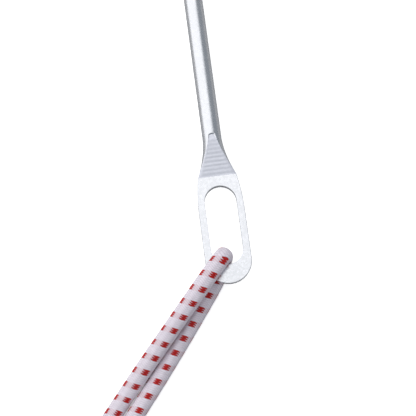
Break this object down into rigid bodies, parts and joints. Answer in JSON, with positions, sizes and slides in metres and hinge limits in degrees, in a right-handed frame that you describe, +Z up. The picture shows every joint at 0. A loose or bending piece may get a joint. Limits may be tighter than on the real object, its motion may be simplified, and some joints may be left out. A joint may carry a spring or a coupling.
{
  "type": "tent stake",
  "caption": "Round steel tent stake with a slotted plate forged at its head and a closed loop of braided elastic cord through the slot.",
  "frame": {"origin": "under the middle of the stake's length, on the flat surface that the stake and its cord lie on", "axes": "+X along the stake from its point to its slotted head, +Z up, off the face of the slotted plate"},
  "size_m": [0.3113, 0.0793, 0.0156],
  "materials": {
    "zinc_plated_steel": "bright zinc plating, satin, with fine forging marks on the ramp",
    "braided_cover": "white braided polyester with red fleck yarns",
    "rubber_core": "natural rubber strands, matt",
    "clamp_steel": "zinc plated strip steel, satin"
  },
  "bodies": {
    "stake": {"stake": "zinc_plated_steel"},
    "seat": {"cover_seat": "braided_cover", "core_seat": "rubber_core"},
    "bight": {"cover_turn_upper": "braided_cover", "core_turn_upper": "rubber_core", "cover_run_upper": "braided_cover", "core_run_upper": "rubber_core", "cover_bend_upper": "braided_cover", "core_bend_upper": "rubber_core", "cover_turn_lower": "braided_cover", "core_turn_lower": "rubber_core", "cover_run_lower": "braided_cover", "core_run_lower": "rubber_core", "cover_bend_lower": "braided_cover", "core_bend_lower": "rubber_core"},
    "tail": {"cover_tail_upper": "braided_cover", "core_tail_upper": "rubber_core", "cover_tail_lower": "braided_cover", "core_tail_lower": "rubber_core", "clamp": "clamp_steel"}
  },
  "joints": [
    {"name": "loop_slide", "type": "slide", "parent": "stake", "child": "seat", "axis": [-0.9998, 0, -0.0208], "range_m": [0, 0.02]},
    {"name": "loop_swing", "type": "hinge", "parent": "seat", "child": "bight", "pos_m": [0.10954, -0.00101, 0.0078], "axis": [0, 0, 1], "range_deg": [-54, 135]},
    {"name": "loop_fold", "type": "hinge", "parent": "bight", "child": "tail", "pos_m": [0.12612, -0.01393, 0.00676], "axis": [0.6468, 0.7627, 0], "range_deg": [-75, 75], "deforming": ["cover_bend_upper", "core_bend_upper", "cover_bend_lower", "core_bend_lower"]}
  ]
}
